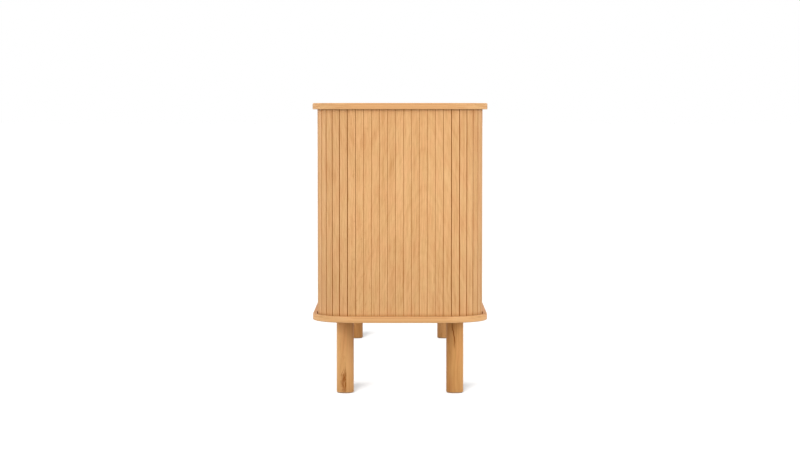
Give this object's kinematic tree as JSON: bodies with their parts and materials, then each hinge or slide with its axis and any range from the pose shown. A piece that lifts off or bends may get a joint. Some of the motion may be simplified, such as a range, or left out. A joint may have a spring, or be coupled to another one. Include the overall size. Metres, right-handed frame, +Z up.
{
  "type": "sideboard",
  "caption": "Long low wooden cabinet with rounded slatted ends, slatted sliding doors, overhanging top and base boards, and round legs.",
  "frame": {"origin": "on the floor under the middle of the sideboard", "axes": "+X along its length towards the right-hand end, -Y towards the side with the doors, +Z up"},
  "size_m": [1.8, 0.45, 0.76],
  "materials": {
    "board_oak": "satin lacquered oak veneer",
    "slat_oak": "satin lacquered oak veneer",
    "back_oak": "satin lacquered oak veneer",
    "leg_oak": "satin oiled solid oak",
    "stile_oak": "satin lacquered solid oak",
    "plywood": "raw plywood",
    "panel_oak": "matt oak veneer",
    "rail_aluminium": "anodised",
    "pad_felt": "dense felt",
    "bolt_steel": "zinc plated",
    "pin_steel": "nickel plated",
    "wheel_nylon": "moulded nylon",
    "runner_nylon": "moulded nylon"
  },
  "bodies": {
    "carcass": {"back_panel": "back_oak", "base_slab": "board_oak", "centre_divider": "panel_oak", "front_left_foot_pad": "pad_felt", "front_left_leg": "leg_oak", "front_left_leg_bolt": "bolt_steel", "front_right_foot_pad": "pad_felt", "front_right_leg": "leg_oak", "front_right_leg_bolt": "bolt_steel", "left_end_panel": "plywood", "left_end_slats": "slat_oak", "left_front_corner_form": "plywood", "left_inner_side": "panel_oak", "left_rear_corner_form": "plywood", "left_shelf": "panel_oak", "left_shelf_pin_inner_1": "pin_steel", "left_shelf_pin_inner_2": "pin_steel", "left_shelf_pin_outer_1": "pin_steel", "left_shelf_pin_outer_2": "pin_steel", "lower_inner_rail": "rail_aluminium", "lower_outer_rail": "rail_aluminium", "rear_left_foot_pad": "pad_felt", "rear_left_leg": "leg_oak", "rear_left_leg_bolt": "bolt_steel", "rear_right_foot_pad": "pad_felt", "rear_right_leg": "leg_oak", "rear_right_leg_bolt": "bolt_steel", "right_end_panel": "plywood", "right_end_slats": "slat_oak", "right_front_corner_form": "plywood", "right_inner_side": "panel_oak", "right_rear_corner_form": "plywood", "right_shelf": "panel_oak", "right_shelf_pin_inner_1": "pin_steel", "right_shelf_pin_inner_2": "pin_steel", "right_shelf_pin_outer_1": "pin_steel", "right_shelf_pin_outer_2": "pin_steel", "top_slab": "board_oak", "upper_inner_rail": "rail_aluminium", "upper_outer_rail": "rail_aluminium"},
    "left_door": {"left_door_carriage_1": "runner_nylon", "left_door_carriage_2": "runner_nylon", "left_door_core": "panel_oak", "left_door_slats": "slat_oak", "left_door_stile": "stile_oak", "left_door_top_guide_1": "runner_nylon", "left_door_top_guide_2": "runner_nylon"},
    "right_door": {"right_door_carriage_1": "runner_nylon", "right_door_carriage_2": "runner_nylon", "right_door_core": "panel_oak", "right_door_slats": "slat_oak", "right_door_stile": "stile_oak", "right_door_top_guide_1": "runner_nylon", "right_door_top_guide_2": "runner_nylon"},
    "left_door_wheel_1": {"left_door_wheel_1": "wheel_nylon"},
    "left_door_wheel_2": {"left_door_wheel_2": "wheel_nylon"},
    "right_door_wheel_1": {"right_door_wheel_1": "wheel_nylon"},
    "right_door_wheel_2": {"right_door_wheel_2": "wheel_nylon"}
  },
  "joints": [
    {"name": "left_door_slide", "type": "slide", "parent": "carcass", "child": "left_door", "axis": [1, 0, 0], "range_m": [0, 0.7515]},
    {"name": "right_door_slide", "type": "slide", "parent": "carcass", "child": "right_door", "axis": [1, 0, 0], "range_m": [-0.7255, 0]},
    {"name": "left_door_wheel_1_spin", "type": "hinge", "parent": "left_door", "child": "left_door_wheel_1", "pos_m": [-0.6917, -0.2015, 0.2198], "axis": [0, 1, 0], "continuous": true},
    {"name": "left_door_wheel_2_spin", "type": "hinge", "parent": "left_door", "child": "left_door_wheel_2", "pos_m": [-0.039, -0.2015, 0.2198], "axis": [0, 1, 0], "continuous": true},
    {"name": "right_door_wheel_1_spin", "type": "hinge", "parent": "right_door", "child": "right_door_wheel_1", "pos_m": [0.6917, -0.182, 0.2198], "axis": [0, 1, 0], "continuous": true},
    {"name": "right_door_wheel_2_spin", "type": "hinge", "parent": "right_door", "child": "right_door_wheel_2", "pos_m": [0.039, -0.182, 0.2198], "axis": [0, 1, 0], "continuous": true}
  ],
  "couplings": [
    {"joint": "left_door_wheel_1_spin", "follows": "left_door_slide", "rad_per_m": 105.26},
    {"joint": "left_door_wheel_2_spin", "follows": "left_door_slide", "rad_per_m": 105.26},
    {"joint": "right_door_wheel_1_spin", "follows": "right_door_slide", "rad_per_m": 105.26},
    {"joint": "right_door_wheel_2_spin", "follows": "right_door_slide", "rad_per_m": 105.26}
  ]
}
